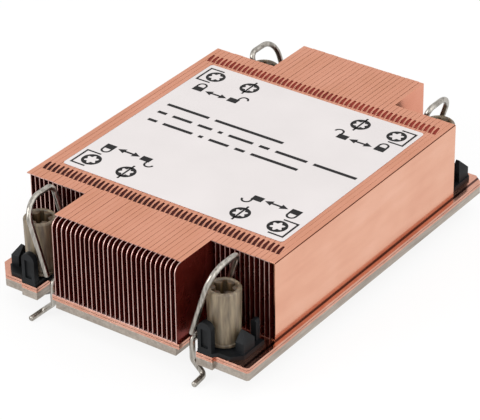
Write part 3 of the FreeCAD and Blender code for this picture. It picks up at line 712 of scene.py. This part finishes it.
# ---- Anti-tilt wires -----------------------------------------------------------------------------
# Each is one length of 1.5 mm stainless spring wire, bent cold into a loop above and a hook below. The
# drawn surface is bright with hair lines along the wire, and the cut ends are rounded.
WIRE_RADIUS = 0.75             # mm
WIRE_SIDES = 20
WIRE_END_ROUND = 0.4
WIRE_RUNS = [(25.2, -57.2, -4.6), (24.9, -52.3, -4.4), (21.5, -52.3, -1.2), (21.5, -52.3, 5.3),
             (21.5, -42.4, 5.3), (28.2, -42.4, 26.1), (28.2, -53.4, 26.1), (22.1, -53.4, 7.0)]
WIRE_BENDS = (1.3, 1.5, 1.5, 1.6, 2.0, 5.5)


def drawn_wire_steel():
    """Drawn stainless wire: bright, warm grey, hair lines and faint drawing marks."""
    material, tree, shader, place = start_material("drawn stainless wire")
    marks = add(tree, "ShaderNodeTexNoise", values={"Scale": 1.0, "Detail": 4.0},
                links={"Vector": stretched(tree, place, (0.5, 0.9, 3.5))}).outputs["Fac"]
    colour = set_ramp(add(tree, "ShaderNodeValToRGB", links={"Fac": marks}),
                      [(0.3, linear("#7E7972")), (0.55, linear("#A8A39B")), (0.75, linear("#C6C1B9"))])
    tree.links.new(colour, shader.inputs["Base Color"])
    rough = add(tree, "ShaderNodeMapRange", links={"Value": marks},
                values={"To Min": 0.2, "To Max": 0.38}).outputs[0]
    tree.links.new(rough, shader.inputs["Roughness"])
    bump = add(tree, "ShaderNodeBump", links={"Height": marks},
               values={"Strength": 0.12, "Distance": 0.02 * MM}).outputs[0]
    tree.links.new(bump, shader.inputs["Normal"])
    shader.inputs["Metallic"].default_value = 1.0
    return material


def bent_wire():
    """The front right wire: a circle pushed along each run and spun round each bend."""
    shape = bmesh.new()
    runs = [Vector(point) for point in WIRE_RUNS]
    ahead = (runs[1] - runs[0]).normalized()
    turn = ahead.to_track_quat("Z", "X").to_matrix().to_4x4()
    bmesh.ops.create_circle(shape, cap_ends=False, segments=WIRE_SIDES, radius=WIRE_RADIUS,
                            matrix=Matrix.Translation(runs[0]) @ turn)
    edges = shape.edges[:]
    at = runs[0]
    for index, radius in enumerate(WIRE_BENDS):
        corner = runs[index + 1]
        onward = (runs[index + 2] - corner).normalized()
        angle = ahead.angle(onward)
        into = corner - ahead * (radius * math.tan(angle / 2))
        made = bmesh.ops.extrude_edge_only(shape, edges=edges)
        moved = moved_verts(made)
        bmesh.ops.translate(shape, verts=moved, vec=into - at)
        edges = [item for item in made["geom"] if isinstance(item, bmesh.types.BMEdge)
                 and all(v in moved for v in item.verts)]
        axis = ahead.cross(onward).normalized()
        centre = into + axis.cross(ahead).normalized() * radius
        steps = max(4, round(math.degrees(angle) / 9))
        made = bmesh.ops.spin(shape, geom=edges, cent=centre, axis=axis, angle=angle, steps=steps,
                              use_duplicate=False)
        edges = [item for item in made["geom_last"] if isinstance(item, bmesh.types.BMEdge)]
        at = corner + onward * (radius * math.tan(angle / 2))
        ahead = onward
    made = bmesh.ops.extrude_edge_only(shape, edges=edges)
    bmesh.ops.translate(shape, verts=moved_verts(made), vec=runs[-1] - at)
    bmesh.ops.holes_fill(shape, edges=[e for e in shape.edges if e.is_boundary], sides=WIRE_SIDES)
    caps = [f for f in shape.faces if len(f.verts) == WIRE_SIDES]
    rims = list({e for f in caps for e in f.edges})
    bmesh.ops.bevel(shape, geom=rims, offset=WIRE_END_ROUND, segments=3, profile=0.5,
                    affect="EDGES", material=-1)
    bmesh.ops.recalc_face_normals(shape, faces=shape.faces)
    return shape


wire_steel = drawn_wire_steel()
for corner, (side_x, side_y) in CORNERS.items():
    wire = bent_wire()
    bmesh.ops.scale(wire, vec=(side_x * MM, -side_y * MM, MM), verts=wire.verts)
    bmesh.ops.recalc_face_normals(wire, faces=wire.faces)
    piece = finish_piece(wire, "spring_wire_" + corner, "wire_" + corner, "wire_" + corner + "_body",
                         [wire_steel])
    for face in piece.data.polygons:
        face.use_smooth = True

# ---- Retainers -----------------------------------------------------------------------------------
# Black glass-filled nylon clips, one under each nut. Each carries the wire in two snap bearings, and its
# arched block, finger and post stand round the nut. The moulded skin is matt with a fine spark grain.
def black_nylon():
    """Glass-filled nylon: near black, matt, slightly cloudy, with a fine grain."""
    material, tree, shader, place = start_material("black glass-filled nylon")
    grain = add(tree, "ShaderNodeTexNoise", values={"Scale": 1.0, "Detail": 4.0},
                links={"Vector": stretched(tree, place, (0.35, 0.35, 0.35))}).outputs["Fac"]
    cloud = add(tree, "ShaderNodeTexNoise", values={"Scale": 1.0, "Detail": 2.0},
                links={"Vector": stretched(tree, place, (3, 3, 3))}).outputs["Fac"]
    colour = set_ramp(add(tree, "ShaderNodeValToRGB", links={"Fac": cloud}),
                      [(0.3, linear("#08090A")), (0.7, linear("#111316"))])
    tree.links.new(colour, shader.inputs["Base Color"])
    rough = add(tree, "ShaderNodeMapRange", links={"Value": grain},
                values={"To Min": 0.42, "To Max": 0.62}).outputs[0]
    tree.links.new(rough, shader.inputs["Roughness"])
    bump = add(tree, "ShaderNodeBump", links={"Height": grain},
               values={"Strength": 0.3, "Distance": 0.04 * MM}).outputs[0]
    tree.links.new(bump, shader.inputs["Normal"])
    shader.inputs["Specular IOR Level"].default_value = 0.2
    return material


nylon = black_nylon()
for corner in CORNERS:
    ease_edges(finish_piece(merged_solid("retainer_" + corner), "clip_" + corner, "retainer_" + corner,
                            HEATSINK, [nylon]), 0.18)

# ---- Floor, light and camera ---------------------------------------------------------------------
# A plain white sweep under the part, a large soft box from the right, weak ones from above and from
# the front left, and a white room. Metal mirrors the same white floor and room that the camera sees.
def white_sweep():
    """A white floor that keeps a soft shadow and reads white where nothing shades it."""
    material = bpy.data.materials.new("white sweep")
    material.use_nodes = True
    tree = material.node_tree
    tree.nodes.clear()
    matt = add(tree, "ShaderNodeBsdfDiffuse", values={"Color": (0.9, 0.9, 0.9, 1)}).outputs[0]
    glow = add(tree, "ShaderNodeEmission", values={"Color": (1, 1, 1, 1), "Strength": 1.0}).outputs[0]
    path = add(tree, "ShaderNodeLightPath").outputs
    bounced = add(tree, "ShaderNodeMath", {"operation": "MAXIMUM"},
                  {0: path["Is Glossy Ray"], 1: path["Is Transmission Ray"]}).outputs[0]
    seen = add(tree, "ShaderNodeMath", {"operation": "MAXIMUM"},
               {0: path["Is Camera Ray"], 1: bounced}).outputs[0]
    share = add(tree, "ShaderNodeMath", {"operation": "MULTIPLY"}, {0: seen}, {1: 0.84}).outputs[0]
    mixed = add(tree, "ShaderNodeMixShader", links={0: share, 1: matt, 2: glow}).outputs[0]
    add(tree, "ShaderNodeOutputMaterial", links={"Surface": mixed})
    return material


FLOOR_GAP = 0.0002             # metres, and so are the sizes and places below
FLOOR_HALF = 3.0
ROOM_LIGHT = 0.84              # the room's strength for diffuse light; seen or mirrored it is 1
LIGHT_AIM = (0, 0, 0.012)
floor_shape = bmesh.new()
bmesh.ops.create_grid(floor_shape, x_segments=4, y_segments=4, size=FLOOR_HALF,
                      matrix=Matrix.Translation((0, 0, cad_low.z - FLOOR_GAP)))
floor_mesh = bpy.data.meshes.new("floor")
floor_shape.to_mesh(floor_mesh)
floor_shape.free()
floor_mesh.materials.append(white_sweep())
floor = bpy.data.objects.new("floor", floor_mesh)
bpy.context.scene.collection.objects.link(floor)

world = bpy.data.worlds.new("white room")
bpy.context.scene.world = world
world.use_nodes = True
room = world.node_tree
room.nodes.clear()
room_path = add(room, "ShaderNodeLightPath").outputs
bounced = add(room, "ShaderNodeMath", {"operation": "MAXIMUM"},
              {0: room_path["Is Glossy Ray"], 1: room_path["Is Transmission Ray"]}).outputs[0]
sharp = add(room, "ShaderNodeMath", {"operation": "MAXIMUM"},
            {0: room_path["Is Camera Ray"], 1: bounced}).outputs[0]
level = add(room, "ShaderNodeMapRange", links={"Value": sharp},
            values={"To Min": ROOM_LIGHT, "To Max": 1.0}).outputs[0]
backdrop = add(room, "ShaderNodeBackground", values={"Color": (1, 1, 1, 1)},
               links={"Strength": level})
add(room, "ShaderNodeOutputWorld", links={"Surface": backdrop.outputs[0]})


def soft_box(name, place, size, power):
    """A square area lamp that faces the middle of the part."""
    lamp = bpy.data.lights.new(name, "AREA")
    lamp.size = size
    lamp.energy = power
    holder = bpy.data.objects.new(name, lamp)
    holder.location = place
    aim = Vector(LIGHT_AIM) - Vector(place)
    holder.rotation_euler = aim.to_track_quat("-Z", "Y").to_euler()
    bpy.context.scene.collection.objects.link(holder)


soft_box("key box", (0.62, -0.10, 0.42), 1.15, 4.2)
soft_box("top box", (0.0, 0.25, 0.75), 0.5, 0.4)
soft_box("fill box", (-0.35, -0.60, 0.35), 0.4, 2.2)

CAMERA_PLACE = (0.32908, -0.45632, 0.34580)
CAMERA_RIGHT = (0.81352, 0.58143, -0.01146)
CAMERA_BACK = (0.50303, -0.69367, 0.51554)
CAMERA_LENS = 191.7            # mm, on a sensor 36 mm wide
camera_data = bpy.data.cameras.new("camera")
camera_data.sensor_width = 36.0
camera_data.lens = CAMERA_LENS
camera_data.clip_start = 0.05
camera_data.clip_end = 20.0
camera = bpy.data.objects.new("camera", camera_data)
right = Vector(CAMERA_RIGHT).normalized()
back = Vector(CAMERA_BACK).normalized()
up = back.cross(right).normalized()
right = up.cross(back)
facing = Matrix((right, up, back)).transposed().to_4x4()
camera.matrix_world = Matrix.Translation(CAMERA_PLACE) @ facing
bpy.context.scene.collection.objects.link(camera)
bpy.context.scene.camera = camera
bpy.context.scene.view_settings.view_transform = "Standard"
